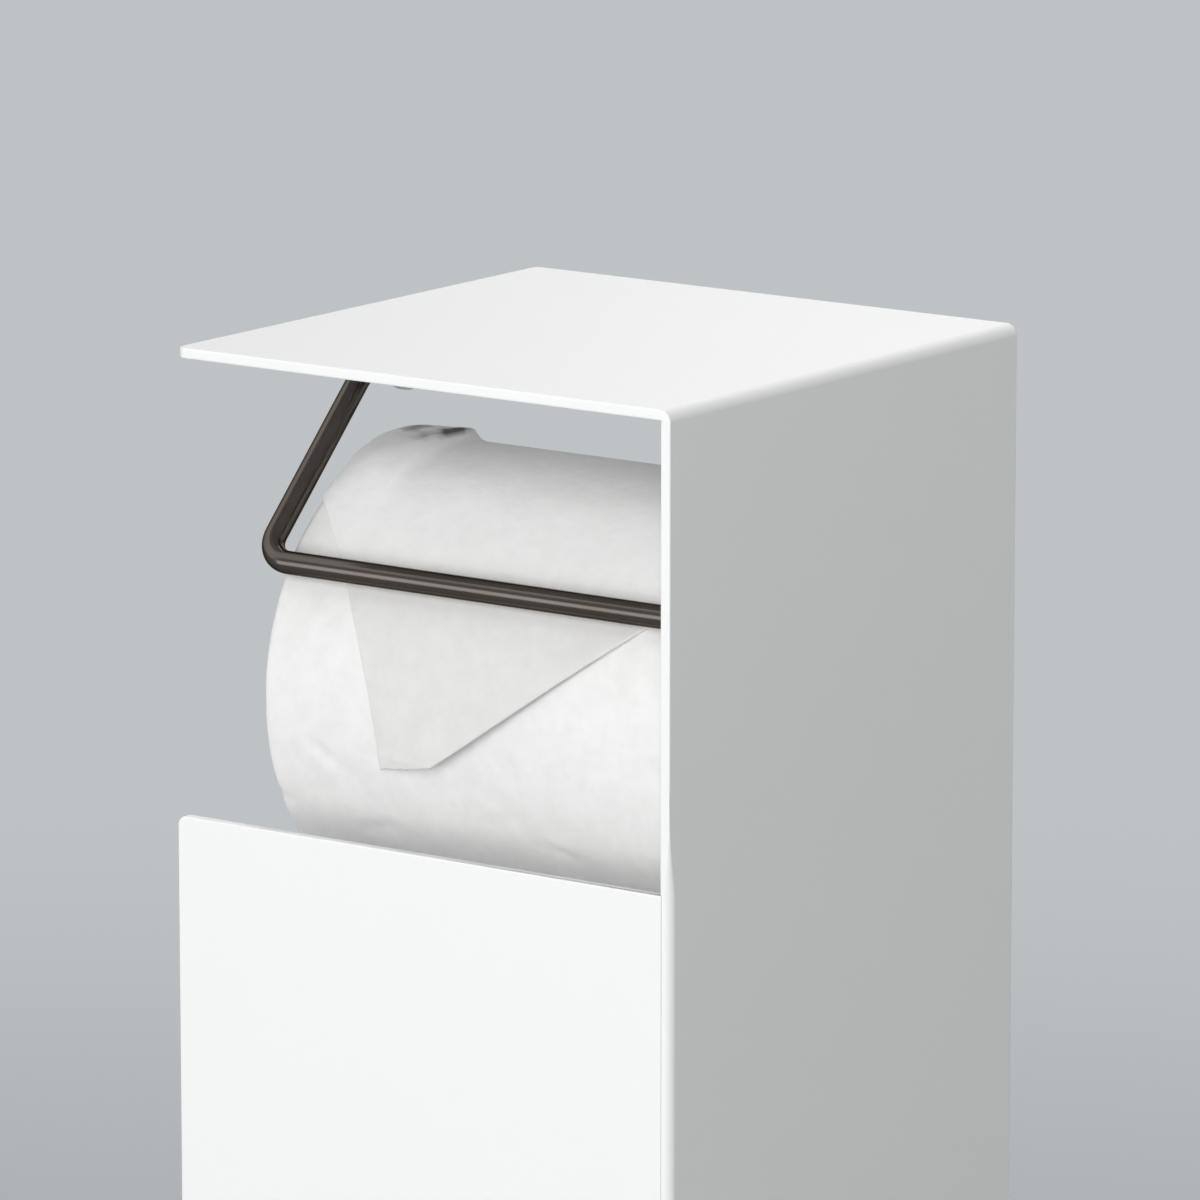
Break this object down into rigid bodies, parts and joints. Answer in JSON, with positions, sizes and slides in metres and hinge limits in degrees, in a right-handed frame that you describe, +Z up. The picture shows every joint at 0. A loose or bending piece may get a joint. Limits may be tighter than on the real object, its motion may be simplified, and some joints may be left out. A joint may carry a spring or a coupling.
{
  "type": "toilet paper stand",
  "caption": "Free-standing toilet paper stand of folded white sheet steel, open at the left and back, with a roll on an inner axle, a hinged rod bail over it and a post for spare rolls.",
  "frame": {"origin": "middle of the stand's footprint, on the floor", "axes": "+X to the right as one faces the front panel, +Y back towards the wall, +Z up"},
  "size_m": [0.1408, 0.14, 0.6],
  "materials": {
    "white_coat": "fine matt powder coat",
    "polished_rod": "dark polished stainless steel",
    "stainless_tube": "brushed",
    "fastener_steel": "zinc plated",
    "plug_plastic": "fine grained",
    "pad_rubber": "matt",
    "tissue_paper": "soft embossed tissue",
    "core_board": "spiral wound grey board"
  },
  "bodies": {
    "stand": {"folded_shell": "white_coat", "ballast_plate": "white_coat", "ballast_screws": "fastener_steel", "floor_pads": "pad_rubber", "post_tube": "stainless_tube", "post_insert": "fastener_steel", "post_bolt": "fastener_steel", "post_cap": "plug_plastic", "axle_stud": "fastener_steel", "axle_tube": "stainless_tube", "axle_insert": "fastener_steel", "axle_cap": "plug_plastic", "left_bracket": "stainless_tube", "right_bracket": "stainless_tube", "pivot_bushes": "plug_plastic", "bracket_studs": "fastener_steel", "bracket_nuts": "fastener_steel"},
    "bail": {"paper_bail": "polished_rod"},
    "roll": {"roll_core": "core_board", "paper_roll": "tissue_paper", "paper_tip": "tissue_paper"}
  },
  "joints": [
    {"name": "bail_swing", "type": "hinge", "parent": "stand", "child": "bail", "pos_m": [0, -0.0063, 0.5897], "axis": [-1, 0, 0], "range_deg": [0, 48]},
    {"name": "roll_spin", "type": "hinge", "parent": "stand", "child": "roll", "pos_m": [-0.0001, 0, 0.5155], "axis": [1, 0, 0], "continuous": true}
  ]
}
